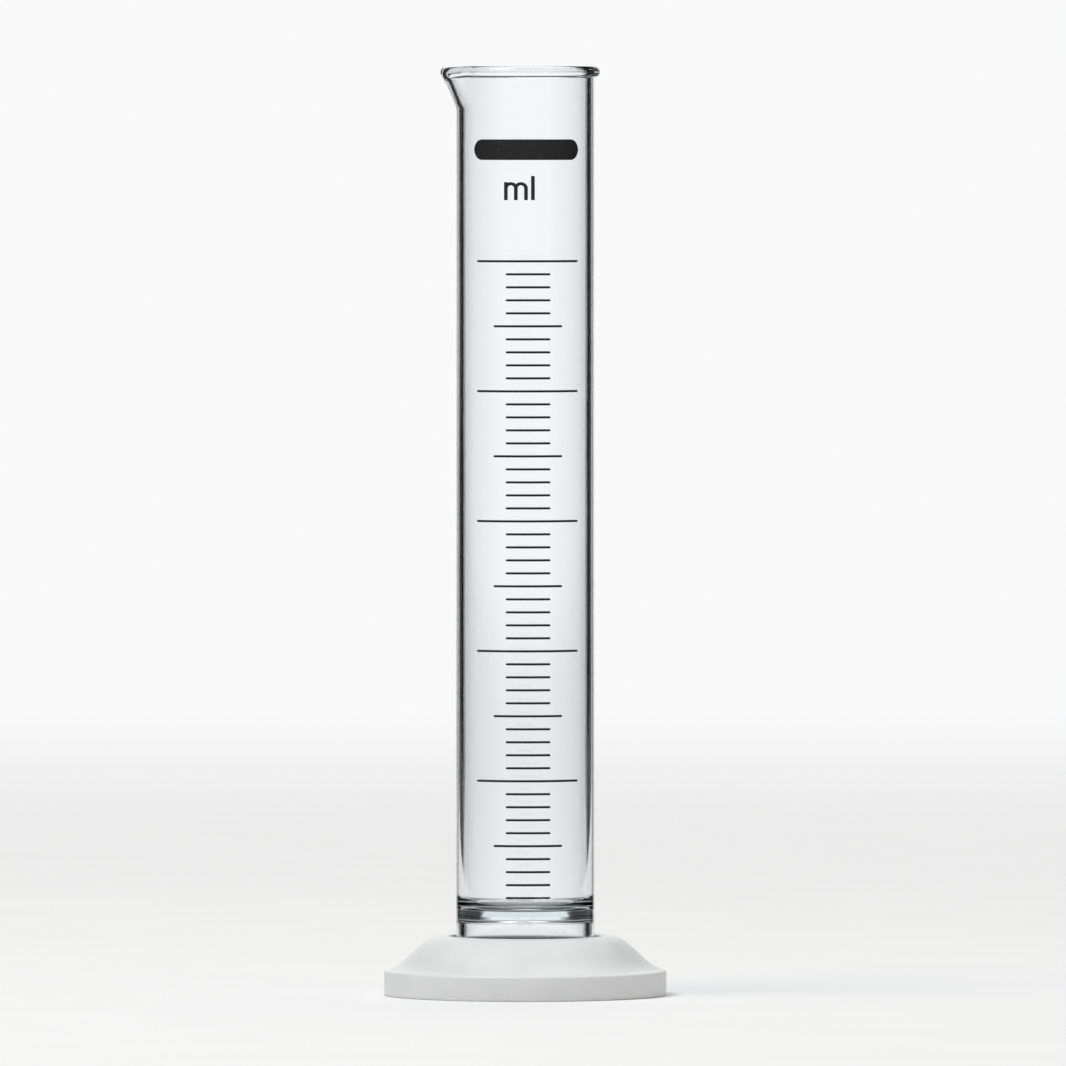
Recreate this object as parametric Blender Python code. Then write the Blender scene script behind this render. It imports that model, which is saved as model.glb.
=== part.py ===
"""Graduated cylinder for 50 ml: a clear moulded tube that plugs into a round foot through a soft grip sleeve.

Metres, +Z up. The origin is on the tube's axis, in the plane that the foot stands on. The pouring spout
points along -X and the scale faces -Y, turned a little towards +X.
"""

import math

import bmesh
import bpy
from mathutils import Matrix, Vector

# ---------------------------------------------------------------- driving dimensions, in metres
ML = 1e-6  # one millilitre, in cubic metres
CAPACITY_ML = 50
BORE_RADIUS = 0.01152
WALL = 0.00125
RIM_TOP = 0.172
ZERO_PLANE = 0.0161  # where the scale would read 0, if the bore had square corners
FOOT_RADIUS = 0.02615
FOOT_HEIGHT = 0.011
BAND_HEIGHT = 0.0046
DECK_RADIUS = 0.0159

# ---------------------------------------------------------------- tube
TUBE_RADIUS = BORE_RADIUS + WALL
BEAD = 0.0011  # radius of the half-round bead outside the rim
LIP_ROUND = 0.0006  # rounding of the rim's inner edge
TIP_ROUND = 0.0005  # rounding of the rim's outer edge at the spout, where the bead fades out
FLOOR_THICKNESS = 0.0015
FLOOR_FILLET = 0.003
SKIRT_BORE = 0.0113
SKIRT_FILLET = 0.001
SKIRT_LEAD = 0.0003
PLUG_CHAMFER = 0.0005

SPOUT_ROOT = 0.1642
SPOUT_REACH = 0.00295
SPOUT_HALF_WIDTH = math.radians(38)
SPOUT_ROOT_SLOPE = 0.72  # the spout leaves the wall at this share of its mean slope
SPOUT_DIP = 0.0003  # how far the rim sinks at the tip of the spout

# ---------------------------------------------------------------- scale, as raised lines moulded on the tube
DIVISION_ML = 1
MARK_WIDTH = 0.00042
MARK_RELIEF = 0.0002
MARK_ROOT = 0.0004  # how deep a line's solid reaches into the wall
SCALE_TURN = math.radians(2.5)  # from -Y towards +X, to the middle of the scale
LONG_MARK = math.radians(46)  # half of the angle that a line spans round the tube
MEDIUM_MARK = math.radians(29.4)
SHORT_MARK = math.radians(18.7)
MARKS_PER_LONG = 10
MARKS_PER_MEDIUM = 5

# ---------------------------------------------------------------- fits
RUNNING_GAP = 0.00015  # radial, between the tube, the sleeve and the socket
RESTING_GAP = 0.0003  # axial, where one piece stands on another

# ---------------------------------------------------------------- grip sleeve and foot
SLEEVE_WALL = 0.001
SLEEVE_FLOOR = 0.0009
SLEEVE_HOLE = 0.005
SLEEVE_ROUND = 0.0003
RIB_OUT = 0.00035  # snap rib round the sleeve, which keeps it in the socket
RIB_HALF_HEIGHT = 0.0006
RIB_HALF_FLAT = 0.0002
GROOVE_DEPTH = 0.0005
GROOVE_HALF_HEIGHT = 0.0009
SNAP_HEIGHT = 0.0065

SHELL = 0.0016
BAND_WALL = 0.0022
FOOT_EDGE = 0.0003
SHOULDER_STRAIGHT = 0.1  # share of a straight slope in the foot's shoulder; the rest is half a cosine
SOCKET_WALL = 0.0016
SOCKET_FLOOR = 0.001
SOCKET_CLEARANCE = 0.0008  # the socket's underside above the bench
DRAIN_RADIUS = 0.004
FOOT_RIBS = 8
FOOT_RIB_WIDTH = 0.0012
FOOT_RIB_CLEARANCE = 0.001
FOOT_RIB_BITE = 0.0008  # how deep a rib runs into the walls that it joins

# ---------------------------------------------------------------- what follows from them
SLEEVE_BORE = TUBE_RADIUS + RUNNING_GAP
SLEEVE_RADIUS = SLEEVE_BORE + SLEEVE_WALL
SOCKET_RADIUS = SLEEVE_RADIUS + RUNNING_GAP
SOCKET_OUTSIDE = SOCKET_RADIUS + SOCKET_WALL
BAND_INSIDE = FOOT_RADIUS - BAND_WALL
SOCKET_BOTTOM = SOCKET_CLEARANCE + SOCKET_FLOOR
SLEEVE_BOTTOM = SOCKET_BOTTOM + RESTING_GAP
SLEEVE_TOP = FOOT_HEIGHT - RESTING_GAP
PLUG_BOTTOM = SLEEVE_BOTTOM + SLEEVE_FLOOR + RESTING_GAP
DIVISION_HEIGHT = DIVISION_ML * ML / (math.pi * BORE_RADIUS**2)

# ---------------------------------------------------------------- mesh fineness
COLUMNS = 60
ARC_STEP = 20  # degrees, at most, between the points of a rounded edge
SPOUT_ROWS = 6
SHOULDER_STEPS = 10
SMOOTH_BELOW = math.radians(35)


def remove_startup_objects():
    """Empties the scene that Blender starts with."""
    for obj in list(bpy.data.objects):
        bpy.data.objects.remove(obj)


def plastic(name, colour, roughness, transmission=0.0, ior=1.5):
    """A non-metallic Principled material."""
    made = bpy.data.materials.new(name)
    made.use_nodes = True
    shader = made.node_tree.nodes["Principled BSDF"]
    shader.inputs["Base Color"].default_value = (*colour, 1.0)
    shader.inputs["Roughness"].default_value = roughness
    shader.inputs["Metallic"].default_value = 0.0
    shader.inputs["Transmission Weight"].default_value = transmission
    shader.inputs["IOR"].default_value = ior
    return made


def add_object(name, bm, material=None, location=(0, 0, 0), parent=None):
    """Turns a bmesh in world coordinates into an object whose origin is at location."""
    bmesh.ops.recalc_face_normals(bm, faces=bm.faces)
    bm.transform(Matrix.Translation(-Vector(location)))
    mesh = bpy.data.meshes.new(name)
    bm.to_mesh(mesh)
    bm.free()
    mesh.shade_smooth()
    mesh.set_sharp_from_angle(angle=SMOOTH_BELOW)
    if material:
        mesh.materials.append(material)
    obj = bpy.data.objects.new(name, mesh)
    bpy.context.scene.collection.objects.link(obj)
    obj.parent = parent
    obj.location = Vector(location) - (parent.location if parent else Vector())
    return obj


def union_with(obj, helper):
    """Joins helper to obj with a Boolean, and hides the helper."""
    helper.hide_render = True
    helper.display_type = "WIRE"
    joined = obj.modifiers.new("union_" + helper.name, "BOOLEAN")
    joined.operation = "UNION"
    joined.solver = "EXACT"
    joined.object = helper


def arc(centre, radius, start_deg, end_deg):
    """Points (r, z) along a circular arc, ends included."""
    steps = math.ceil(abs(end_deg - start_deg) / ARC_STEP)
    points = []
    for i in range(steps + 1):
        angle = math.radians(start_deg + (end_deg - start_deg) * i / steps)
        points.append((centre[0] + radius * math.cos(angle), centre[1] + radius * math.sin(angle)))
    return points


def revolve(outline):
    """A bmesh made by spinning a closed outline of (r, z) points, which stays off the axis, once round +Z."""
    bm = bmesh.new()
    verts = [bm.verts.new((r, 0, z)) for r, z in outline]
    edges = [bm.edges.new((a, b)) for a, b in zip(verts, verts[1:] + verts[:1])]
    bmesh.ops.spin(
        bm, geom=verts + edges, cent=(0, 0, 0), axis=(0, 0, 1), angle=math.tau, steps=COLUMNS, use_merge=True
    )
    return bm


# ---------------------------------------------------------------- tube
def floor_height():
    """Height of the bore's flat floor: low enough to make up for the volume that its fillet takes away."""
    core = BORE_RADIUS - FLOOR_FILLET
    ring = core**2 * FLOOR_FILLET + core * math.pi * FLOOR_FILLET**2 / 2 + 2 * FLOOR_FILLET**3 / 3
    lost = BORE_RADIUS**2 * FLOOR_FILLET - ring
    return ZERO_PLANE - lost / BORE_RADIUS**2


def spout_lift(z):
    """Share of the spout's reach at height z: 0 at its root, 1 from the middle of the rim's bead upwards."""
    u = min(max((z - SPOUT_ROOT) / (RIM_TOP - BEAD - SPOUT_ROOT), 0.0), 1.0)
    return SPOUT_ROOT_SLOPE * u + (1 - SPOUT_ROOT_SLOPE) * u * u


def beak(angle):
    """Plan shape of the spout: 1 in its middle, towards -X, falling to 0 at its half width."""
    off = abs(angle - math.pi)
    if off >= SPOUT_HALF_WIDTH:
        return 0.0
    return math.cos(math.pi / 2 * off / SPOUT_HALF_WIDTH) ** 2


def tube_path():
    """The tube's section from axis to axis, as (radius, z, bead, tip).

    bead is what the rim's bead adds to the radius, and tip is what the rounding of the rim's edge takes away
    at the spout.
    """
    floor = floor_height()
    ceiling = floor - FLOOR_THICKNESS
    bead_middle = RIM_TOP - BEAD
    row_height = (bead_middle - BEAD - SPOUT_ROOT) / SPOUT_ROWS
    spout_heights = [SPOUT_ROOT + row_height * i for i in range(SPOUT_ROWS + 1)]
    plain = [(0, ceiling)]
    plain += arc((SKIRT_BORE - SKIRT_FILLET, ceiling - SKIRT_FILLET), SKIRT_FILLET, 90, 0)
    plain += [(SKIRT_BORE, PLUG_BOTTOM + SKIRT_LEAD), (SKIRT_BORE + SKIRT_LEAD, PLUG_BOTTOM)]
    plain += [(TUBE_RADIUS - PLUG_CHAMFER, PLUG_BOTTOM), (TUBE_RADIUS, PLUG_BOTTOM + PLUG_CHAMFER)]
    plain += [(TUBE_RADIUS, z) for z in spout_heights]
    path = [(r, z, 0.0, 0.0) for r, z in plain]
    for r, z in arc((0, bead_middle), BEAD, -90, 90)[1:]:
        tip = TIP_ROUND * (1 - r / BEAD) if z > bead_middle else 0.0
        path.append((TUBE_RADIUS, z, r, tip))
    inside = arc((BORE_RADIUS + LIP_ROUND, RIM_TOP - LIP_ROUND), LIP_ROUND, 90, 180)
    inside += [(BORE_RADIUS, z) for z in reversed(spout_heights)]
    inside += arc((BORE_RADIUS - FLOOR_FILLET, floor + FLOOR_FILLET), FLOOR_FILLET, 0, -90)
    inside += [(0, floor)]
    return path + [(r, z, 0.0, 0.0) for r, z in inside]


def tube_ring(bm, radius, z, bead, tip):
    """One ring of vertices round the tube, pushed out along the spout. A ring on the axis is one vertex."""
    if radius == 0:
        return [bm.verts.new((0, 0, z))]
    rise = min(max((z - SPOUT_ROOT) / (RIM_TOP - SPOUT_ROOT), 0.0), 1.0)
    ring = []
    for i in range(COLUMNS):
        angle = math.tau * i / COLUMNS
        share = beak(angle)
        r = radius + share * (SPOUT_REACH * spout_lift(z) - tip) + (1 - share) * bead
        ring.append(bm.verts.new((r * math.cos(angle), r * math.sin(angle), z - SPOUT_DIP * share * rise)))
    return ring


def join_rings(bm, lower, upper):
    """Faces between two rings of the tube, one of which may be a single vertex on the axis."""
    for i in range(COLUMNS):
        j = (i + 1) % COLUMNS
        if len(lower) == 1:
            bm.faces.new((lower[0], upper[i], upper[j]))
        elif len(upper) == 1:
            bm.faces.new((lower[i], lower[j], upper[0]))
        else:
            bm.faces.new((lower[i], lower[j], upper[j], upper[i]))


def mark_half_angle(number):
    """Half of the angle spanned by the line at this many divisions above zero."""
    if number % MARKS_PER_LONG == 0:
        return LONG_MARK
    if number % MARKS_PER_MEDIUM == 0:
        return MEDIUM_MARK
    return SHORT_MARK


def add_mark(bm, number):
    """A line of the scale as a curved bar, rooted in the wall and standing MARK_RELIEF proud of it."""
    half = mark_half_angle(number)
    middle = ZERO_PLANE + number * DIVISION_HEIGHT
    inner, outer = TUBE_RADIUS - MARK_ROOT, TUBE_RADIUS + MARK_RELIEF
    low, high = middle - MARK_WIDTH / 2, middle + MARK_WIDTH / 2
    steps = math.ceil(2 * half * COLUMNS / math.tau)
    sections = []
    for i in range(steps + 1):
        angle = SCALE_TURN - math.pi / 2 - half + 2 * half * i / steps
        corners = ((inner, low), (outer, low), (outer, high), (inner, high))
        sections.append([bm.verts.new((r * math.cos(angle), r * math.sin(angle), z)) for r, z in corners])
    for near, far in zip(sections, sections[1:]):
        for a in range(4):
            b = (a + 1) % 4
            bm.faces.new((near[a], near[b], far[b], far[a]))
    bm.faces.new(sections[0])
    bm.faces.new(sections[-1])


def build_tube(material, parent):
    """The clear tube with its rim, spout, raised floor, hollow plug and the raised lines of its scale."""
    bm = bmesh.new()
    rings = [tube_ring(bm, *point) for point in tube_path()]
    for lower, upper in zip(rings, rings[1:]):
        join_rings(bm, lower, upper)
    tube = add_object("tube", bm, material, (0, 0, PLUG_BOTTOM), parent)
    lines = bmesh.new()
    for number in range(1, CAPACITY_ML // DIVISION_ML + 1):
        add_mark(lines, number)
    union_with(tube, add_object("scale_lines", lines))


# ---------------------------------------------------------------- grip sleeve
def build_sleeve(material, parent):
    """A soft cup, open in the middle, with a snap rib round its outside."""
    top_round = SLEEVE_TOP - SLEEVE_ROUND
    outline = [(SLEEVE_HOLE, SLEEVE_BOTTOM), (SLEEVE_RADIUS - SLEEVE_ROUND, SLEEVE_BOTTOM)]
    outline += [(SLEEVE_RADIUS, SLEEVE_BOTTOM + SLEEVE_ROUND)]
    outline += [(SLEEVE_RADIUS, SNAP_HEIGHT - RIB_HALF_HEIGHT)]
    outline += [(SLEEVE_RADIUS + RIB_OUT, SNAP_HEIGHT - RIB_HALF_FLAT)]
    outline += [(SLEEVE_RADIUS + RIB_OUT, SNAP_HEIGHT + RIB_HALF_FLAT)]
    outline += [(SLEEVE_RADIUS, SNAP_HEIGHT + RIB_HALF_HEIGHT), (SLEEVE_RADIUS, top_round)]
    outline += [(SLEEVE_RADIUS - SLEEVE_ROUND, SLEEVE_TOP), (SLEEVE_BORE + SLEEVE_ROUND, SLEEVE_TOP)]
    outline += [(SLEEVE_BORE, top_round), (SLEEVE_BORE, SLEEVE_BOTTOM + SLEEVE_FLOOR)]
    outline += [(SLEEVE_HOLE, SLEEVE_BOTTOM + SLEEVE_FLOOR)]
    return add_object("grip_sleeve", revolve(outline), material, (0, 0, SLEEVE_BOTTOM), parent)


# ---------------------------------------------------------------- foot
def shoulder(depth):
    """Points (r, z) down the foot's shoulder, from the deck to the band, this deep under its outer face."""
    run = FOOT_RADIUS - DECK_RADIUS
    drop = FOOT_HEIGHT - BAND_HEIGHT
    points = []
    for i in range(SHOULDER_STEPS + 1):
        u = i / SHOULDER_STEPS
        fall = (1 - SHOULDER_STRAIGHT) * (1 - math.cos(math.pi * u)) / 2 + SHOULDER_STRAIGHT * u
        steepness = (1 - SHOULDER_STRAIGHT) * math.pi / 2 * math.sin(math.pi * u) + SHOULDER_STRAIGHT
        inwards = Vector((-drop * steepness, -run)).normalized() * depth
        points.append((DECK_RADIUS + run * u + inwards.x, FOOT_HEIGHT - drop * fall + inwards.y))
    return points


def foot_outline():
    """Section of the foot's shell: up the socket, over the deck and the shoulder, then back inside."""
    low, high = SNAP_HEIGHT - GROOVE_HALF_HEIGHT, SNAP_HEIGHT + GROOVE_HALF_HEIGHT
    groove = SOCKET_RADIUS + GROOVE_DEPTH
    outline = [(DRAIN_RADIUS, SOCKET_BOTTOM), (SOCKET_RADIUS, SOCKET_BOTTOM), (SOCKET_RADIUS, low)]
    outline += [(groove, low + GROOVE_DEPTH), (groove, high - GROOVE_DEPTH)]
    outline += [(SOCKET_RADIUS, high), (SOCKET_RADIUS, FOOT_HEIGHT)]
    outline += shoulder(0)
    outline += [(FOOT_RADIUS, FOOT_EDGE), (FOOT_RADIUS - FOOT_EDGE, 0), (BAND_INSIDE, 0)]
    inside = [point for point in shoulder(SHELL) if SOCKET_OUTSIDE < point[0] < BAND_INSIDE]
    outline += [(BAND_INSIDE, inside[-1][1])] + inside[::-1]
    outline += [(SOCKET_OUTSIDE, inside[0][1]), (SOCKET_OUTSIDE, SOCKET_CLEARANCE)]
    outline += [(DRAIN_RADIUS, SOCKET_CLEARANCE)]
    return outline


def foot_rib(bm, angle):
    """One radial rib under the shoulder, as a plate whose edges end inside the walls that it joins."""
    start, end = SOCKET_OUTSIDE - FOOT_RIB_BITE, BAND_INSIDE + FOOT_RIB_BITE
    top = [point for point in shoulder(SHELL / 2) if start < point[0] < end]
    edge = [(start, FOOT_RIB_CLEARANCE), (end, FOOT_RIB_CLEARANCE), (end, top[-1][1])]
    edge += top[::-1] + [(start, top[0][1])]
    face = bm.faces.new([bm.verts.new((r, -FOOT_RIB_WIDTH / 2, z)) for r, z in edge])
    made = bmesh.ops.extrude_face_region(bm, geom=[face])["geom"]
    far = [v for v in made if isinstance(v, bmesh.types.BMVert)]
    bmesh.ops.translate(bm, vec=(0, FOOT_RIB_WIDTH, 0), verts=far)
    turn = Matrix.Rotation(angle, 3, "Z")
    bmesh.ops.rotate(bm, cent=(0, 0, 0), matrix=turn, verts=list(face.verts) + far)


def build_foot(material):
    """The foot's shell with the ribs under it."""
    foot = add_object("foot", revolve(foot_outline()), material)
    ribs = bmesh.new()
    for i in range(FOOT_RIBS):
        foot_rib(ribs, math.tau * i / FOOT_RIBS)
    union_with(foot, add_object("foot_ribs", ribs))
    return foot


def build():
    """The whole object: the sleeve is parented to the foot, and the tube to the sleeve."""
    remove_startup_objects()
    foot = build_foot(plastic("white_polypropylene", (0.77, 0.775, 0.77), roughness=0.37))
    sleeve = build_sleeve(plastic("soft_elastomer", (0.16, 0.165, 0.17), roughness=0.7), foot)
    clear = plastic("clear_plastic", (0.93, 0.96, 0.97), roughness=0.05, transmission=1.0, ior=1.463)
    build_tube(clear, sleeve)


build()
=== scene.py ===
"""The looks of the graduated cylinder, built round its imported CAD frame. Metres, +Z up, spout towards -X.

Every main size is measured on the CAD nodes. The named values below add what the CAD leaves out: rounded
edges, inked lines, moulding traces and the surfaces' grain.
"""

import math
import bmesh
import bpy
from mathutils import Matrix, Vector


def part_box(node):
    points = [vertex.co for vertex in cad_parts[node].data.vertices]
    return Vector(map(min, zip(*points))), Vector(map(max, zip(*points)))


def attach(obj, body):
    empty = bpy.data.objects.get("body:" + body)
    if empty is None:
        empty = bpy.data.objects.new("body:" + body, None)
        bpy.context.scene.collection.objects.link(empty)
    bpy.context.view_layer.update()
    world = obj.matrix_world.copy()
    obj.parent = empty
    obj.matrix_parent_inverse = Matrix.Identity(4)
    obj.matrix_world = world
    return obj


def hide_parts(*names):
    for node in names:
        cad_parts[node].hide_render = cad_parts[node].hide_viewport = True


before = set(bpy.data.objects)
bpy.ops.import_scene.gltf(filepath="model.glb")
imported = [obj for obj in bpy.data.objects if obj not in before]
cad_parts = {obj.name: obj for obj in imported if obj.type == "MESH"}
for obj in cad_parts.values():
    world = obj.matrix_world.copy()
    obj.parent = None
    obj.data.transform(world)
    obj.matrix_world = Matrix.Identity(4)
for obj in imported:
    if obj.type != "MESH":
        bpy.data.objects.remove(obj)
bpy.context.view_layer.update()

# ---------------------------------------------------------------- measured on the frame
SAME = 1e-5  # two heights or two radii closer than this are one


def points(node):
    """The node's CAD points, as (distance from the axis, height)."""
    return [(math.hypot(v.co.x, v.co.y), v.co.z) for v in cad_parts[node].data.vertices]


def radii(node, low, high):
    """Smallest and largest distance from the axis of the node's CAD points between two heights."""
    found = [r for r, z in points(node) if low - SAME <= z <= high + SAME]
    return min(found), max(found)


def heights(node, low, high):
    """Lowest and highest of the node's CAD points between two distances from the axis."""
    found = [z for r, z in points(node) if low - SAME <= r <= high + SAME]
    return min(found), max(found)


PLUG_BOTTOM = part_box("tube")[0].z
RIM_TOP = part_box("tube")[1].z
DECK_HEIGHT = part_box("foot")[1].z
TUBE_RADIUS = radii("tube", PLUG_BOTTOM, DECK_HEIGHT)[1]
SKIRT_BORE = radii("tube", PLUG_BOTTOM, DECK_HEIGHT)[0]
BORE_RADIUS = radii("tube", RIM_TOP / 2, RIM_TOP)[0]
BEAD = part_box("tube")[1].x - TUBE_RADIUS
SPOUT_REACH = -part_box("tube")[0].x - TUBE_RADIUS
FLOOR_EDGE = radii("tube", DECK_HEIGHT, RIM_TOP / 2)[0]
FLOOR_HEIGHT = heights("tube", 0, FLOOR_EDGE)[1]
CEILING = max(z for r, z in points("tube") if z < FLOOR_HEIGHT - SAME)

FOOT_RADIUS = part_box("foot")[1].x
BAND_HEIGHT = heights("foot", FOOT_RADIUS, FOOT_RADIUS)[1]
BAND_INSIDE = radii("foot", 0, 0)[0]
SOCKET_RADIUS, DECK_RADIUS = radii("foot", DECK_HEIGHT, DECK_HEIGHT)
DRAIN_RADIUS = radii("foot", 0, DECK_HEIGHT)[0]
SOCKET_UNDERSIDE, SOCKET_FLOOR = heights("foot", DRAIN_RADIUS, DRAIN_RADIUS)

SLEEVE_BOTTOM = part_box("grip_sleeve")[0].z
SLEEVE_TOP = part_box("grip_sleeve")[1].z
SLEEVE_HOLE = radii("grip_sleeve", SLEEVE_BOTTOM, SLEEVE_BOTTOM)[0]
SLEEVE_FLOOR = heights("grip_sleeve", SLEEVE_HOLE, SLEEVE_HOLE)[1]
SNAP_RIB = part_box("grip_sleeve")[1].x

# ---------------------------------------------------------------- the tube's own detail
LIP_ROUND = 0.0006
TIP_ROUND = 0.0005
FLOOR_FILLET = BORE_RADIUS - FLOOR_EDGE
SKIRT_FILLET = 0.001
SKIRT_LEAD = 0.0003
PLUG_CHAMFER = 0.0005
SPOUT_HEIGHT = 0.0078  # from the rim down to where the spout leaves the wall
SPOUT_HALF_WIDTH = math.radians(38)
SPOUT_ROOT_SLOPE = 0.72  # the spout leaves the wall at this share of its mean slope
SPOUT_DIP = 0.0003
SEAM = 0.00004  # height of the witness lines that the two mould halves leave at both sides of the tube
GATE_RADIUS = 0.0013  # stub under the floor, left where the plastic entered the mould
GATE_HEIGHT = 0.0004

# ---------------------------------------------------------------- the scale and the print
CAPACITY_ML = 50
ML = 1e-6  # one millilitre, in cubic metres
MARKS_PER_LONG = 10
MARKS_PER_MEDIUM = 5
LONG_MARK = math.radians(46)  # half of the angle that a line spans round the tube
MEDIUM_MARK = math.radians(29.4)
SHORT_MARK = math.radians(18.7)
SCALE_TURN = math.radians(2.5)  # from -Y towards +X, to the middle of the scale
MARK_WIDTH = 0.00042
MARK_RELIEF = 0.0002
PRINT_RELIEF = 0.00005
PRINT_ROOT = 0.00005  # how deep inked solids reach into the wall, so that no gap shows

BAR_HEIGHT = 0.0038
BAR_MIDDLE = 0.0154  # below the rim
BAR_HALF_ANGLE = math.radians(48.5)
BAR_TURN = math.radians(1.2)

UNIT_BASELINE = 0.0247  # below the rim
UNIT_TURN = math.radians(-4.9)
TALL_LETTER = 0.00446
SMALL_LETTER = 0.00333
STROKE = 0.00068
M_WIDTH = 0.00444
M_TOP = 0.00058  # thickness of the top of the arches of the m
M_ARCH = 0.00115  # height of the round part of the m
LETTER_GAP = 0.0006

# ---------------------------------------------------------------- the foot's and the sleeve's own detail
SHELL = 0.0016
SHOULDER_STRAIGHT = 0.1
SOCKET_WALL = 0.0016
FOOT_RIBS = 8
FOOT_RIB_WIDTH = 0.0012
FOOT_RIB_CLEARANCE = 0.001
FOOT_RIB_BITE = 0.0008
MOUTH_ROUND = 0.00025
BAND_ROUND = 0.0004
BASE_ROUND = 0.0003
INNER_ROUND = 0.0005
SNAP_HEIGHT = 0.0065
GROOVE_DEPTH = 0.0005
GROOVE_HALF_HEIGHT = 0.0009
SLEEVE_GAP = 0.00015
SLEEVE_WALL = 0.001
SLEEVE_ROUND = 0.0003
RIB_HALF_HEIGHT = 0.0006

# ---------------------------------------------------------------- mesh fineness
COLUMNS = 288
ARC_STEP = 9  # degrees
SPOUT_ROWS = 36
SHOULDER_STEPS = 40
ROUND_STEPS = 5
CAP_STEPS = 7
CROWN_STEPS = 8


# ---------------------------------------------------------------- mesh helpers
def arc(centre, radius, start_deg, end_deg):
    """Points (r, z) along a circular arc, ends included."""
    steps = math.ceil(abs(end_deg - start_deg) / ARC_STEP)
    found = []
    for i in range(steps + 1):
        angle = math.radians(start_deg + (end_deg - start_deg) * i / steps)
        found.append((centre[0] + radius * math.cos(angle), centre[1] + radius * math.sin(angle)))
    return found


def rounded(corners):
    """A closed outline of (r, z) points from corners (r, z, radius), each rounded to its radius."""
    outline = []
    for i, (r, z, radius) in enumerate(corners):
        corner = Vector((r, z))
        if not radius:
            outline.append(tuple(corner))
            continue
        back = (Vector(corners[i - 1][:2]) - corner).normalized()
        on = (Vector(corners[(i + 1) % len(corners)][:2]) - corner).normalized()
        half = back.angle(on) / 2
        centre = corner + (back + on).normalized() * (radius / math.sin(half))
        start = corner + back * (radius / math.tan(half)) - centre
        end = corner + on * (radius / math.tan(half)) - centre
        for k in range(ROUND_STEPS + 1):
            towards = start.lerp(end, k / ROUND_STEPS).normalized()
            outline.append(tuple(centre + towards * radius))
    return outline


def revolve(outline):
    """A bmesh made by spinning a closed outline of (r, z) points, off the axis, once round +Z."""
    bm = bmesh.new()
    verts = [bm.verts.new((r, 0, z)) for r, z in outline]
    edges = [bm.edges.new((a, b)) for a, b in zip(verts, verts[1:] + verts[:1])]
    bmesh.ops.spin(
        bm, geom=verts + edges, cent=(0, 0, 0), axis=(0, 0, 1), angle=math.tau, steps=COLUMNS, use_merge=True
    )
    return bm


def on_wall(angle, z, proud):
    """A point this far proud of the tube's outside; angle 0 faces -Y and grows towards +X."""
    r = TUBE_RADIUS + proud
    return Vector((r * math.sin(angle), -r * math.cos(angle), z))


def add_piece(name, bm, material, body, sharp_deg=30):
    """Turns a bmesh into a smooth-shaded piece that moves with a CAD body."""
    bmesh.ops.recalc_face_normals(bm, faces=bm.faces)
    mesh = bpy.data.meshes.new(name)
    bm.to_mesh(mesh)
    bm.free()
    mesh.shade_smooth()
    mesh.set_sharp_from_angle(angle=math.radians(sharp_deg))
    mesh.materials.append(material)
    piece = bpy.data.objects.new(name, mesh)
    bpy.context.scene.collection.objects.link(piece)
    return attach(piece, body)


# ---------------------------------------------------------------- tube
def spout_lift(z):
    """Share of the spout's reach at height z: 0 at its root, 1 from the middle of the rim's bead upwards."""
    root = RIM_TOP - SPOUT_HEIGHT
    u = min(max((z - root) / (SPOUT_HEIGHT - BEAD), 0.0), 1.0)
    return SPOUT_ROOT_SLOPE * u + (1 - SPOUT_ROOT_SLOPE) * u * u


def beak(angle):
    """Plan shape of the spout: 1 in its middle, towards -X, falling to 0 at its half width."""
    off = abs(angle - math.pi)
    if off >= SPOUT_HALF_WIDTH:
        return 0.0
    return math.cos(math.pi / 2 * off / SPOUT_HALF_WIDTH) ** 2


def tube_path():
    """The tube's section from axis to axis, as (radius, z, bead, tip).

    bead is what the rim's bead adds to the radius, and tip is what the rounding of the rim's edge takes away
    at the spout.
    """
    bead_middle = RIM_TOP - BEAD
    row = (SPOUT_HEIGHT - 2 * BEAD) / SPOUT_ROWS
    spout_heights = [RIM_TOP - SPOUT_HEIGHT + row * i for i in range(SPOUT_ROWS + 1)]
    plain = [(0, CEILING - GATE_HEIGHT)]
    plain += arc((GATE_RADIUS - GATE_HEIGHT / 2, CEILING - GATE_HEIGHT / 2), GATE_HEIGHT / 2, -90, 0)
    plain += [(GATE_RADIUS, CEILING)]
    plain += arc((SKIRT_BORE - SKIRT_FILLET, CEILING - SKIRT_FILLET), SKIRT_FILLET, 90, 0)
    plain += [(SKIRT_BORE, PLUG_BOTTOM + SKIRT_LEAD), (SKIRT_BORE + SKIRT_LEAD, PLUG_BOTTOM)]
    plain += [(TUBE_RADIUS - PLUG_CHAMFER, PLUG_BOTTOM), (TUBE_RADIUS, PLUG_BOTTOM + PLUG_CHAMFER)]
    plain += [(TUBE_RADIUS, z) for z in spout_heights]
    path = [(r, z, 0.0, 0.0) for r, z in plain]
    for r, z in arc((0, bead_middle), BEAD, -90, 90)[1:]:
        tip = TIP_ROUND * (1 - r / BEAD) if z > bead_middle else 0.0
        path.append((TUBE_RADIUS, z, r, tip))
    inside = arc((BORE_RADIUS + LIP_ROUND, RIM_TOP - LIP_ROUND), LIP_ROUND, 90, 180)
    inside += [(BORE_RADIUS, z) for z in reversed(spout_heights)]
    inside += arc((BORE_RADIUS - FLOOR_FILLET, FLOOR_HEIGHT + FLOOR_FILLET), FLOOR_FILLET, 0, -90)
    inside += [(0, FLOOR_HEIGHT)]
    return path + [(r, z, 0.0, 0.0) for r, z in inside]


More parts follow.
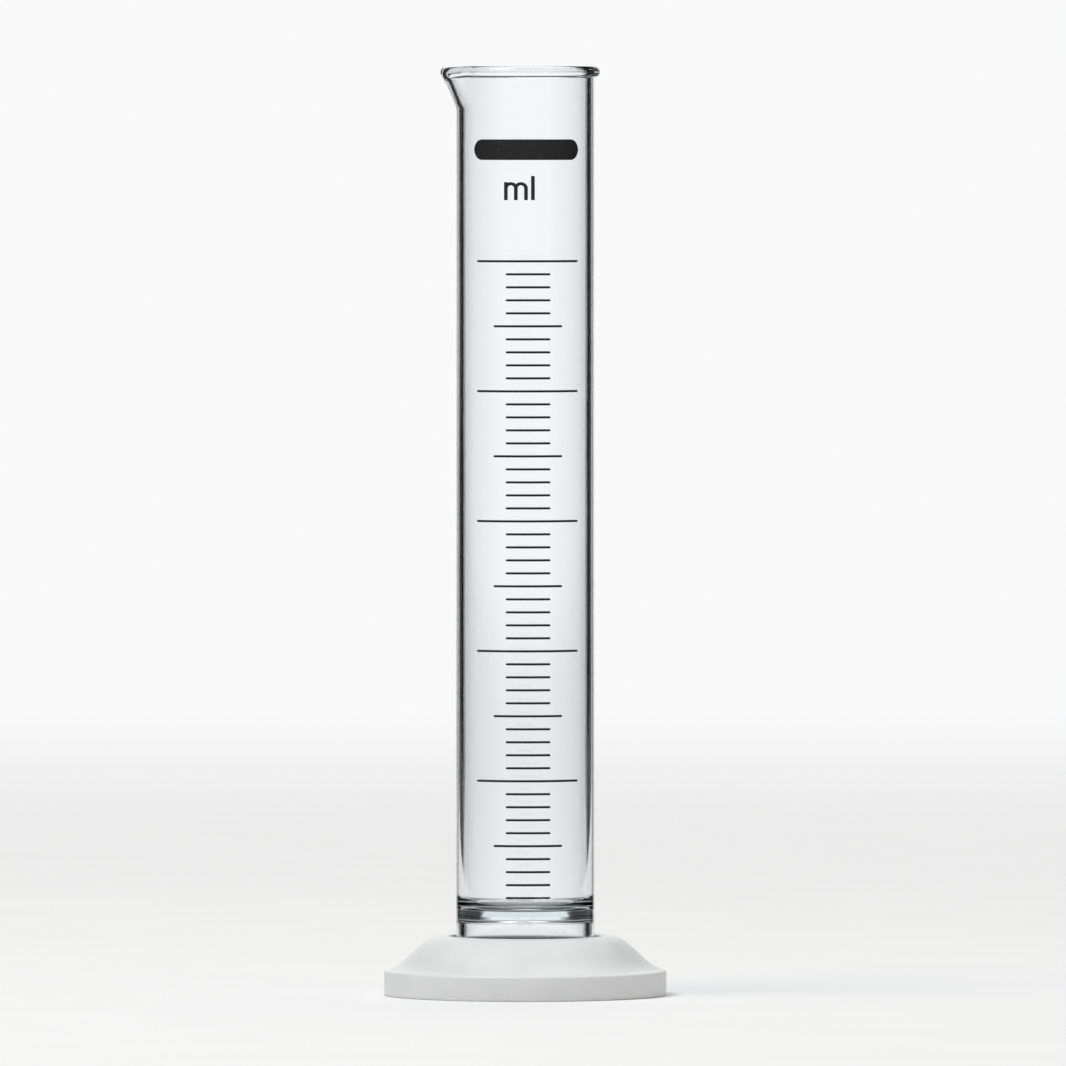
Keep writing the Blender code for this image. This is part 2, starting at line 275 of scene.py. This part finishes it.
def tube_ring(bm, radius, z, bead, tip):
    """One ring of vertices round the tube, pushed out along the spout. A ring on the axis is one vertex."""
    if radius == 0:
        return [bm.verts.new((0, 0, z))]
    rise = min(max(1 - (RIM_TOP - z) / SPOUT_HEIGHT, 0.0), 1.0)
    ring = []
    for i in range(COLUMNS):
        angle = math.tau * i / COLUMNS
        share = beak(angle)
        r = radius + share * (SPOUT_REACH * spout_lift(z) - tip) + (1 - share) * bead
        if radius >= TUBE_RADIUS and i % (COLUMNS // 2) == 0:
            r += SEAM
        ring.append(bm.verts.new((r * math.cos(angle), r * math.sin(angle), z - SPOUT_DIP * share * rise)))
    return ring


def join_rings(bm, lower, upper):
    """Faces between two rings of the tube, one of which may be a single vertex on the axis."""
    for i in range(COLUMNS):
        j = (i + 1) % COLUMNS
        if len(lower) == 1:
            bm.faces.new((lower[0], upper[i], upper[j]))
        elif len(upper) == 1:
            bm.faces.new((lower[i], lower[j], upper[0]))
        else:
            bm.faces.new((lower[i], lower[j], upper[j], upper[i]))


def build_tube(material):
    """The clear tube with its rim, spout, raised floor and the hollow plug under it."""
    bm = bmesh.new()
    rings = [tube_ring(bm, *point) for point in tube_path()]
    for lower, upper in zip(rings, rings[1:]):
        join_rings(bm, lower, upper)
    tube = add_piece("clear_tube", bm, material, "tube")
    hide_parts("tube")


# ---------------------------------------------------------------- scale and print
def zero_plane():
    """Height at which the scale would read 0: the floor, raised by the volume that its fillet takes away."""
    core = BORE_RADIUS - FLOOR_FILLET
    ring = core**2 * FLOOR_FILLET + core * math.pi * FLOOR_FILLET**2 / 2 + 2 * FLOOR_FILLET**3 / 3
    lost = BORE_RADIUS**2 * FLOOR_FILLET - ring
    return FLOOR_HEIGHT + lost / BORE_RADIUS**2


def capsule(bm, turn, half_angle, middle, height, relief):
    """A raised bar with round ends, lying round the tube, its crown relief proud of the wall."""
    end = height / 2 / TUBE_RADIUS  # angle taken by each round end
    straight = half_angle - end
    steps = max(2, math.ceil(2 * straight * COLUMNS / math.tau))
    quarter = [math.pi / 2 * (k + 0.5) / CAP_STEPS for k in range(CAP_STEPS)]
    stations = [(-straight - end * math.cos(a), math.sin(a)) for a in quarter]
    stations += [(-straight + 2 * straight * k / steps, 1.0) for k in range(steps + 1)]
    stations += [(straight + end * math.cos(a), math.sin(a)) for a in reversed(quarter)]
    sections = []
    for angle, share in stations:
        half = height / 2 * share
        rim = [on_wall(turn + angle, middle + side * half, -PRINT_ROOT) for side in (1, -1)]
        for k in range(CROWN_STEPS + 1):
            t = math.pi * k / CROWN_STEPS
            proud = relief * math.sqrt(math.sin(t)) if 0 < k < CROWN_STEPS else 0.0
            rim.append(on_wall(turn + angle, middle - half * math.cos(t), proud))
        sections.append([bm.verts.new(p) for p in rim])
    for near, far in zip(sections, sections[1:]):
        for a in range(len(near)):
            b = (a + 1) % len(near)
            bm.faces.new((near[a], near[b], far[b], far[a]))
    bm.faces.new(sections[0])
    bm.faces.new(sections[-1])


def mark_half_angle(number):
    """Half of the angle spanned by the line at this many millilitres."""
    if number % MARKS_PER_LONG == 0:
        return LONG_MARK
    if number % MARKS_PER_MEDIUM == 0:
        return MEDIUM_MARK
    return SHORT_MARK


def build_scale(material):
    """The 50 lines, raised and inked. Line n stands at the height that n millilitres reach in the bore."""
    bm = bmesh.new()
    division = ML / (math.pi * BORE_RADIUS**2)
    for number in range(1, CAPACITY_ML + 1):
        middle = zero_plane() + number * division
        capsule(bm, SCALE_TURN, mark_half_angle(number), middle, MARK_WIDTH, MARK_RELIEF)
    add_piece("scale_lines", bm, material, "tube")


def build_bar(material):
    """A plain printed bar above the scale."""
    bm = bmesh.new()
    capsule(bm, BAR_TURN, BAR_HALF_ANGLE, RIM_TOP - BAR_MIDDLE, BAR_HEIGHT, PRINT_RELIEF)
    add_piece("printed_bar", bm, material, "tube", sharp_deg=60)


def letter_m():
    """Outline (x, z) of a plain m: three stems, two round arches."""
    pitch = (M_WIDTH - STROKE) / 2
    spring = SMALL_LETTER - M_ARCH
    inner, outer = (pitch - STROKE) / 2, (pitch + STROKE) / 2
    meeting = math.acos(pitch / 2 / outer)  # on each arch, where the two arches meet
    ending = math.acos(inner / outer)  # on the left arch, where it meets its stem
    outline = []
    for k in range(2):
        middle = k * pitch + STROKE + inner
        outline += [(k * pitch, 0), (k * pitch + STROKE, 0)]
        outline += arch(middle, spring, inner, M_ARCH - M_TOP, math.pi, 0)
    outline += [(2 * pitch, 0), (M_WIDTH, 0)]
    outline += arch(pitch + STROKE + inner, spring, outer, M_ARCH, 0, math.pi - meeting)
    outline += arch(STROKE + inner, spring, outer, M_ARCH, meeting, math.pi - ending)[1:]
    return outline + [(STROKE, SMALL_LETTER), (0, SMALL_LETTER)]


def arch(x, z, half_width, height, start, end):
    """Points along part of a half ellipse that stands on (x, z)."""
    found = []
    for k in range(2 * CAP_STEPS + 1):
        angle = start + (end - start) * k / (2 * CAP_STEPS)
        found.append((x + half_width * math.cos(angle), z + height * math.sin(angle)))
    return found


def letter_l(left):
    """Outline (x, z) of a plain l."""
    return [(left, 0), (left + STROKE, 0), (left + STROKE, TALL_LETTER), (left, TALL_LETTER)]


def build_unit(material):
    """The unit, ml, printed above the scale as two thin solids wrapped round the wall."""
    bm = bmesh.new()
    left = M_WIDTH + LETTER_GAP
    start = UNIT_TURN - (left + STROKE) / 2 / TUBE_RADIUS
    baseline = RIM_TOP - UNIT_BASELINE
    for outline in (letter_m(), letter_l(left)):
        rims = []
        for proud in (-PRINT_ROOT, PRINT_RELIEF):
            wrapped = [on_wall(start + x / TUBE_RADIUS, baseline + z, proud) for x, z in outline]
            rims.append([bm.verts.new(point) for point in wrapped])
        for i in range(len(outline)):
            j = (i + 1) % len(outline)
            bm.faces.new((rims[0][i], rims[0][j], rims[1][j], rims[1][i]))
        for rim in rims:
            bm.faces.new(rim)
    bm.normal_update()
    bmesh.ops.triangulate(bm, faces=[face for face in bm.faces if len(face.verts) > 4])
    add_piece("unit_letters", bm, material, "tube")


# ---------------------------------------------------------------- grip sleeve
def build_sleeve(material):
    """A soft cup, open in the middle, with a snap rib round its outside."""
    bore = TUBE_RADIUS + SLEEVE_GAP
    outside = bore + SLEEVE_WALL
    corners = [(SLEEVE_HOLE, SLEEVE_BOTTOM, SLEEVE_ROUND), (outside, SLEEVE_BOTTOM, SLEEVE_ROUND)]
    corners += [(outside, SNAP_HEIGHT - RIB_HALF_HEIGHT, 0), (SNAP_RIB, SNAP_HEIGHT, RIB_HALF_HEIGHT)]
    corners += [(outside, SNAP_HEIGHT + RIB_HALF_HEIGHT, 0)]
    corners += [(outside, SLEEVE_TOP, SLEEVE_ROUND), (bore, SLEEVE_TOP, SLEEVE_ROUND)]
    corners += [(bore, SLEEVE_FLOOR, SLEEVE_ROUND), (SLEEVE_HOLE, SLEEVE_FLOOR, SLEEVE_ROUND)]
    sleeve = add_piece("soft_sleeve", revolve(rounded(corners)), material, "sleeve")
    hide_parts("grip_sleeve")


# ---------------------------------------------------------------- foot
def shoulder(depth):
    """Points (r, z) down the foot's shoulder, from the deck to the band, this deep under its outer face."""
    run = FOOT_RADIUS - DECK_RADIUS
    drop = DECK_HEIGHT - BAND_HEIGHT
    found = []
    for i in range(SHOULDER_STEPS + 1):
        u = i / SHOULDER_STEPS
        fall = (1 - SHOULDER_STRAIGHT) * (1 - math.cos(math.pi * u)) / 2 + SHOULDER_STRAIGHT * u
        steepness = (1 - SHOULDER_STRAIGHT) * math.pi / 2 * math.sin(math.pi * u) + SHOULDER_STRAIGHT
        inwards = Vector((-drop * steepness, -run)).normalized() * depth
        found.append((DECK_RADIUS + run * u + inwards.x, DECK_HEIGHT - drop * fall + inwards.y))
    return found


def foot_outline():
    """Section of the foot's shell: up the socket, over the deck and the shoulder, then back inside."""
    low, high = SNAP_HEIGHT - GROOVE_HALF_HEIGHT, SNAP_HEIGHT + GROOVE_HALF_HEIGHT
    groove = SOCKET_RADIUS + GROOVE_DEPTH
    outside = SOCKET_RADIUS + SOCKET_WALL
    corners = [(DRAIN_RADIUS, SOCKET_FLOOR, MOUTH_ROUND), (SOCKET_RADIUS, SOCKET_FLOOR, MOUTH_ROUND)]
    corners += [(SOCKET_RADIUS, low, 0), (groove, low + GROOVE_DEPTH, 0), (groove, high - GROOVE_DEPTH, 0)]
    corners += [(SOCKET_RADIUS, high, 0), (SOCKET_RADIUS, DECK_HEIGHT, MOUTH_ROUND)]
    corners += [(r, z, 0) for r, z in shoulder(0)[:-2]]
    corners += [(FOOT_RADIUS, BAND_HEIGHT, BAND_ROUND), (FOOT_RADIUS, 0, BASE_ROUND)]
    corners += [(BAND_INSIDE, 0, BASE_ROUND)]
    inside = [(r, z, 0) for r, z in shoulder(SHELL) if outside + INNER_ROUND < r < BAND_INSIDE - INNER_ROUND]
    corners += [(BAND_INSIDE, inside[-1][1], INNER_ROUND)] + inside[::-1]
    corners += [(outside, inside[0][1], INNER_ROUND)]
    corners += [(outside, SOCKET_UNDERSIDE, BASE_ROUND), (DRAIN_RADIUS, SOCKET_UNDERSIDE, MOUTH_ROUND)]
    return rounded(corners)


def foot_ribs():
    """The radial ribs under the shoulder, as plates whose edges end inside the walls that they join."""
    bm = bmesh.new()
    start, end = SOCKET_RADIUS + SOCKET_WALL - FOOT_RIB_BITE, BAND_INSIDE + FOOT_RIB_BITE
    top = [point for point in shoulder(SHELL / 2) if start < point[0] < end]
    edge = [(start, FOOT_RIB_CLEARANCE), (end, FOOT_RIB_CLEARANCE), (end, top[-1][1])]
    edge += top[::-1] + [(start, top[0][1])]
    for i in range(FOOT_RIBS):
        turn = Matrix.Rotation(math.tau * i / FOOT_RIBS, 4, "Z")
        sides = []
        for y in (-FOOT_RIB_WIDTH / 2, FOOT_RIB_WIDTH / 2):
            sides.append([bm.verts.new(turn @ Vector((r, y, z))) for r, z in edge])
        for a in range(len(edge)):
            b = (a + 1) % len(edge)
            bm.faces.new((sides[0][a], sides[0][b], sides[1][b], sides[1][a]))
        for side in sides:
            bm.faces.new(side)
    return bm


def build_foot(material):
    """The foot's shell, and the ribs under it as a second piece."""
    foot = add_piece("moulded_foot", revolve(foot_outline()), material, "foot")
    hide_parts("foot")
    ribs = add_piece("foot_ribs", foot_ribs(), material, "foot")


# ---------------------------------------------------------------- materials
SCUFF_HEIGHT = 0.0012  # how far up the foot's band its scuffed edge reaches


class Nodes:
    """Adds nodes to a new material's tree; an input given as a socket is linked, any other is a value."""

    def __init__(self, name):
        self.material = bpy.data.materials.new(name)
        self.material.use_nodes = True
        self.tree = self.material.node_tree
        self.tree.nodes.clear()

    def add(self, kind, inputs=None, **settings):
        """A shader node of this kind, with these inputs and these settings of its own."""
        node = self.tree.nodes.new("ShaderNode" + kind)
        for key, value in settings.items():
            setattr(node, key, value)
        for key, value in (inputs or {}).items():
            if isinstance(value, bpy.types.NodeSocket):
                self.tree.links.new(value, node.inputs[key])
            else:
                node.inputs[key].default_value = value
        return node

    def noise(self, scale, detail=3.0, stretch=(1, 1, 1)):
        """Noise in the object's own metres; scale is the number of features in a metre."""
        place = self.add("TexCoord").outputs["Object"]
        turned = self.add("Mapping", {"Vector": place, "Scale": stretch}).outputs["Vector"]
        return self.add("TexNoise", {"Vector": turned, "Scale": scale, "Detail": detail}).outputs["Fac"]

    def spread(self, value, low, high, start=0.3, end=0.7):
        """Maps start to end onto low to high. Noise mostly lies between 0.3 and 0.7."""
        given = {"Value": value, "From Min": start, "From Max": end, "To Min": low, "To Max": high}
        return self.add("MapRange", given).outputs["Result"]

    def mix(self, factor, first, second):
        """Colour between two colours."""
        given = {"Factor": factor, "A": first, "B": second}
        node = self.add("Mix", data_type="RGBA")
        for key, value in given.items():
            socket = next(s for s in node.inputs if s.name == key and s.enabled)
            if isinstance(value, bpy.types.NodeSocket):
                self.tree.links.new(value, socket)
            else:
                socket.default_value = value
        return next(s for s in node.outputs if s.enabled)

    def bump(self, height, distance, strength=1.0):
        """Normals of a surface with this relief; distance is what a height of 1 stands for, in metres."""
        given = {"Height": height, "Distance": distance, "Strength": strength}
        return self.add("Bump", given).outputs["Normal"]

    def finish(self, surface, volume=None):
        """The material, once its shaders are joined to its output."""
        out = self.add("OutputMaterial", {"Surface": surface})
        if volume:
            self.tree.links.new(volume, out.inputs["Volume"])
        return self.material


def clear_plastic():
    """Clear moulded plastic: faint flow waves along the tube, fine wear in its gloss, a cool tint inside.

    It refracts what is seen through it, but light that falls through it onto a matt surface goes straight on.
    """
    nodes = Nodes("clear_plastic")
    waves = nodes.noise(90, detail=2.0, stretch=(1, 1, 0.25))
    wear = nodes.noise(700, detail=6.0, stretch=(1, 1, 0.6))
    surface = {
        "Base Color": (0.985, 0.992, 0.995, 1),
        "Roughness": nodes.spread(wear, 0.015, 0.06),
        "IOR": 1.463,
        "Transmission Weight": 1.0,
        "Normal": nodes.bump(waves, 0.00003),
    }
    shader = nodes.add("BsdfPrincipled", surface).outputs["BSDF"]
    see_through = nodes.add("BsdfTransparent", {"Color": (0.93, 0.945, 0.95, 1)}).outputs["BSDF"]
    rays = nodes.add("LightPath").outputs
    falling = {0: rays["Is Shadow Ray"], 1: rays["Is Diffuse Ray"]}
    straight = nodes.add("Math", falling, operation="MAXIMUM").outputs[0]
    both = nodes.add("MixShader", {0: straight, 1: shader, 2: see_through}).outputs["Shader"]
    depth = nodes.add("VolumeAbsorption", {"Color": (0.72, 0.85, 0.9, 1), "Density": 30.0}).outputs["Volume"]
    return nodes.finish(both, depth)


def white_plastic():
    """Natural white moulded plastic, satin, with a fine mould grain and a slightly scuffed lower edge."""
    nodes = Nodes("white_plastic")
    cloud = nodes.noise(120, detail=4.0)
    grain = nodes.noise(4200, detail=2.0)
    peel = nodes.noise(900, detail=2.0)
    relief = nodes.add("Math", {0: peel, 1: 0.4, 2: grain}, operation="MULTIPLY_ADD").outputs[0]
    height = nodes.add("SeparateXYZ", {0: nodes.add("TexCoord").outputs["Object"]}).outputs["Z"]
    near_base = nodes.spread(height, 1.0, 0.0, start=0.0, end=SCUFF_HEIGHT)
    patches = nodes.noise(900, detail=6.0)
    scuffs = nodes.add("Math", {0: near_base, 1: patches}, operation="MULTIPLY").outputs[0]
    clean = nodes.mix(nodes.spread(cloud, 0, 1), (0.75, 0.76, 0.755, 1), (0.79, 0.795, 0.79, 1))
    colour = nodes.mix(nodes.spread(scuffs, 0, 0.5), clean, (0.55, 0.55, 0.54, 1))
    surface = {
        "Base Color": colour,
        "Roughness": nodes.spread(cloud, 0.32, 0.42),
        "IOR": 1.49,
        "Subsurface Weight": 0.4,
        "Subsurface Radius": (1.0, 0.95, 0.9),
        "Subsurface Scale": 0.0015,
        "Normal": nodes.bump(relief, 0.00003, 0.7),
    }
    return nodes.finish(nodes.add("BsdfPrincipled", surface).outputs["BSDF"])


def soft_elastomer():
    """Soft dark grey elastomer, matt, with a fine grain."""
    nodes = Nodes("soft_elastomer")
    cloud = nodes.noise(300, detail=4.0)
    grain = nodes.noise(4000, detail=3.0)
    surface = {
        "Base Color": nodes.mix(nodes.spread(cloud, 0, 1), (0.14, 0.145, 0.15, 1), (0.18, 0.185, 0.19, 1)),
        "Roughness": nodes.spread(grain, 0.6, 0.8),
        "IOR": 1.5,
        "Normal": nodes.bump(grain, 0.00003),
    }
    return nodes.finish(nodes.add("BsdfPrincipled", surface).outputs["BSDF"])


def ink():
    """Near-black screen ink with a faint orange peel and a few thin places."""
    nodes = Nodes("black_ink")
    peel = nodes.noise(2500, detail=3.0)
    thin = nodes.noise(1400, detail=6.0)
    paler = nodes.spread(thin, 0, 1, start=0.6, end=0.85)
    surface = {
        "Base Color": nodes.mix(paler, (0.012, 0.012, 0.013, 1), (0.06, 0.06, 0.065, 1)),
        "Roughness": nodes.spread(peel, 0.35, 0.55),
        "Specular IOR Level": 0.22,
        "Normal": nodes.bump(peel, 0.00001),
    }
    return nodes.finish(nodes.add("BsdfPrincipled", surface).outputs["BSDF"])


# ---------------------------------------------------------------- stage, light and camera
EYE_DISTANCE = 3.48
EYE_HEIGHT = RIM_TOP
AIM = Vector((0.00144, 0, 0.0856))
LENS = 635
SENSOR = 36

BACKDROP = 0.95  # brightness of the world where it shows, directly or through the tube
AMBIENT = 0.3  # brightness of the world as it lights the object
BOUNCES = 24  # enough for light to get through both walls and the thick floor of the tube
FLOOR_RADIUS = 4.0
FLOOR_SOLID = 0.1  # the floor is whole within this distance, and then fades into the backdrop
FLOOR_GONE = 1.6
FLAG_OFFSET = 0.14  # black boards this far beside and above the object draw the clear tube's edges dark
FLAG_NEAR = 0.16  # how far in front of the object the boards beside it start, as clear as air
FLAG_BLACK = (0.065, 0.27)  # how far behind the object a board turns fully black, and stops being so
FLAG_FAR = 0.42  # how far behind the object a board ends, as clear as air again
FLAG_ABOVE = 0.12  # how far behind the object the board above it starts


def floor_material():
    """Pale matt floor that fades into the backdrop with distance."""
    nodes = Nodes("pale_floor")
    place = nodes.add("TexCoord").outputs["Object"]
    distance = nodes.add("VectorMath", {0: place}, operation="LENGTH").outputs["Value"]
    reach = {"Value": distance, "From Min": FLOOR_SOLID, "From Max": FLOOR_GONE}
    gone = nodes.add("MapRange", reach, interpolation_type="SMOOTHSTEP").outputs["Result"]
    mottle = nodes.spread(nodes.noise(35, detail=5.0), 0, 1)
    colour = nodes.mix(mottle, (0.87, 0.87, 0.865, 1), (0.885, 0.885, 0.88, 1))
    matt = nodes.add("BsdfDiffuse", {"Color": colour}).outputs["BSDF"]
    clear = nodes.add("BsdfTransparent").outputs["BSDF"]
    return nodes.finish(nodes.add("MixShader", {0: gone, 1: matt, 2: clear}).outputs["Shader"])


def build_floor():
    """A wide round floor in the plane that the foot stands on."""
    bm = bmesh.new()
    bmesh.ops.create_circle(bm, cap_ends=True, segments=96, radius=FLOOR_RADIUS)
    mesh = bpy.data.meshes.new("floor")
    bm.to_mesh(mesh)
    bm.free()
    mesh.materials.append(floor_material())
    floor = bpy.data.objects.new("floor", mesh)
    bpy.context.scene.collection.objects.link(floor)


def build_world():
    """A plain pale surround, much dimmer as a lamp than as a backdrop."""
    world = bpy.data.worlds.new("surround")
    world.use_nodes = True
    tree = world.node_tree
    background = tree.nodes["Background"]
    background.inputs["Color"].default_value = (1, 1, 1, 1)
    path = tree.nodes.new("ShaderNodeLightPath")
    dimmer = tree.nodes.new("ShaderNodeMapRange")
    dimmer.inputs["To Min"].default_value = BACKDROP
    dimmer.inputs["To Max"].default_value = AMBIENT
    tree.links.new(path.outputs["Is Diffuse Ray"], dimmer.inputs["Value"])
    tree.links.new(dimmer.outputs["Result"], background.inputs["Strength"])
    bpy.context.scene.world = world


def softbox(name, place, size, power):
    """A square lamp aimed at the middle of the object."""
    data = bpy.data.lights.new(name, "AREA")
    data.size = size
    data.energy = power
    lamp = bpy.data.objects.new(name, data)
    bpy.context.scene.collection.objects.link(lamp)
    lamp.location = place
    lamp.rotation_euler = (Vector((0, 0, RIM_TOP / 2)) - lamp.location).to_track_quat("-Z", "Y").to_euler()


def build_camera():
    """A long lens at the height of the rim, so that the rim is seen edge-on."""
    data = bpy.data.cameras.new("camera")
    data.lens = LENS
    data.sensor_width = SENSOR
    data.clip_end = 100
    camera = bpy.data.objects.new("camera", data)
    bpy.context.scene.collection.objects.link(camera)
    camera.location = (AIM.x, -EYE_DISTANCE, EYE_HEIGHT)
    camera.rotation_euler = (AIM - camera.location).to_track_quat("-Z", "Y").to_euler()
    bpy.context.scene.camera = camera
    return camera


def build_flags(camera):
    """Black boards beside and above the object, out of the frame, that turn to face with the camera."""
    nodes = Nodes("black_flag")
    depth = nodes.add("SeparateXYZ", {0: nodes.add("TexCoord").outputs["Object"]}).outputs["Y"]
    before = nodes.spread(depth, 1.0, 0.0, start=-FLAG_NEAR, end=FLAG_BLACK[0])
    behind = nodes.spread(depth, 0.0, 1.0, start=FLAG_BLACK[1], end=FLAG_FAR)
    air = nodes.add("Math", {0: before, 1: behind}, operation="MAXIMUM").outputs[0]
    black = nodes.add("BsdfDiffuse", {"Color": (0.01, 0.01, 0.01, 1)}).outputs["BSDF"]
    clear = nodes.add("BsdfTransparent").outputs["BSDF"]
    board = nodes.finish(nodes.add("MixShader", {0: air, 1: black, 2: clear}).outputs["Shader"])
    pivot = bpy.data.objects.new("flag_pivot", None)
    bpy.context.scene.collection.objects.link(pivot)
    facing = pivot.constraints.new("LOCKED_TRACK")
    facing.target = camera
    facing.track_axis = "TRACK_NEGATIVE_Y"
    facing.lock_axis = "LOCK_Z"
    left, right, top = -FLAG_OFFSET, FLAG_OFFSET, RIM_TOP + FLAG_OFFSET
    for name, start, ends in (
        ("flag_left", -FLAG_NEAR, ((left, 0), (left, top))),
        ("flag_right", -FLAG_NEAR, ((right, 0), (right, top))),
        ("flag_above", FLAG_ABOVE, ((left, top), (right, top))),
    ):
        corners = [(x, y, z) for y in (start, FLAG_FAR) for x, z in ends]
        mesh = bpy.data.meshes.new(name)
        mesh.from_pydata(corners, [], [(0, 1, 3, 2)])
        mesh.materials.append(board)
        flag = bpy.data.objects.new(name, mesh)
        bpy.context.scene.collection.objects.link(flag)
        flag.parent = pivot
        flag.visible_diffuse = False
        flag.visible_shadow = False


def build_stage():
    """Everything round the object: floor, surround, three soft lamps, camera and flags."""
    build_floor()
    build_world()
    softbox("key", (-0.8, -0.5, 1.75), 0.9, 23.0)
    softbox("fill", (1.2, -0.9, 1.0), 1.0, 2.5)
    softbox("top", (0.3, 0.7, 1.7), 1.2, 8.5)
    build_flags(build_camera())
    bpy.context.scene.view_settings.view_transform = "Standard"
    bpy.context.scene.cycles.max_bounces = BOUNCES
    bpy.context.scene.cycles.transmission_bounces = BOUNCES
    bpy.context.scene.cycles.transparent_max_bounces = BOUNCES


def build():
    build_foot(white_plastic())
    build_sleeve(soft_elastomer())
    build_tube(clear_plastic())
    black = ink()
    build_scale(black)
    build_bar(black)
    build_unit(black)
    build_stage()


build()
